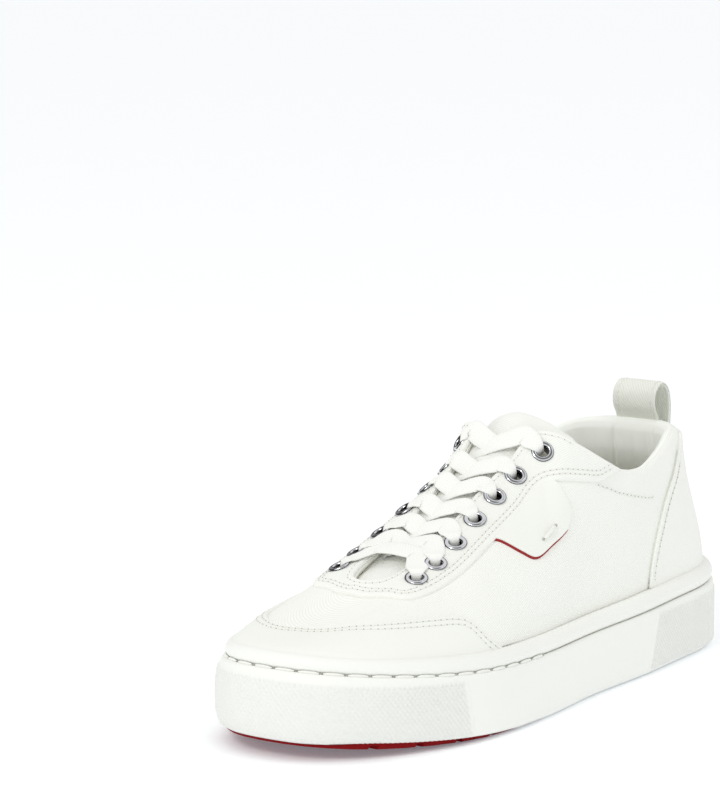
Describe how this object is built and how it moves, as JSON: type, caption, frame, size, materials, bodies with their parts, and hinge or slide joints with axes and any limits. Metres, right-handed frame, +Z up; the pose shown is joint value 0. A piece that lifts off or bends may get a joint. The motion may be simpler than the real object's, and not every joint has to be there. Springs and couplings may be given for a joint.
{
  "type": "canvas sneaker",
  "caption": "Low white canvas sneaker, left shoe, with a thick white rubber cup sole, red outsole, smooth toe cap, padded collar, heel pull loop and flat laces through metal eyelets.",
  "frame": {"origin": "middle of the shoe's footprint, on the floor", "axes": "+X towards the toe, +Y towards the outer side of the left foot, +Z up"},
  "size_m": [0.3008, 0.1104, 0.1145],
  "materials": {
    "sidewall_rubber": "satin",
    "outsole_rubber": "matt",
    "canvas": "matt",
    "smooth_leather": "satin",
    "insole_cover": "matt",
    "strap_twill": "matt",
    "lace_cotton": "matt",
    "eyelet_metal": "polished"
  },
  "bodies": {
    "root": {"outsole": "outsole_rubber", "midsole": "sidewall_rubber", "welt": "sidewall_rubber", "insole": "insole_cover", "upper": "canvas", "toe_cap": "smooth_leather", "eyestay": "canvas", "heel_panel": "canvas", "tongue": "canvas", "tongue_patch": "smooth_leather", "side_tab": "smooth_leather", "pull_loop": "strap_twill", "laces": "lace_cotton", "eyelet_lateral_1": "eyelet_metal", "eyelet_lateral_2": "eyelet_metal", "eyelet_lateral_3": "eyelet_metal", "eyelet_lateral_4": "eyelet_metal", "eyelet_lateral_5": "eyelet_metal", "eyelet_lateral_6": "eyelet_metal", "eyelet_lateral_7": "eyelet_metal", "eyelet_medial_1": "eyelet_metal", "eyelet_medial_2": "eyelet_metal", "eyelet_medial_3": "eyelet_metal", "eyelet_medial_4": "eyelet_metal", "eyelet_medial_5": "eyelet_metal", "eyelet_medial_6": "eyelet_metal", "eyelet_medial_7": "eyelet_metal", "vent_front": "eyelet_metal", "vent_rear": "eyelet_metal"}
  },
  "joints": []
}
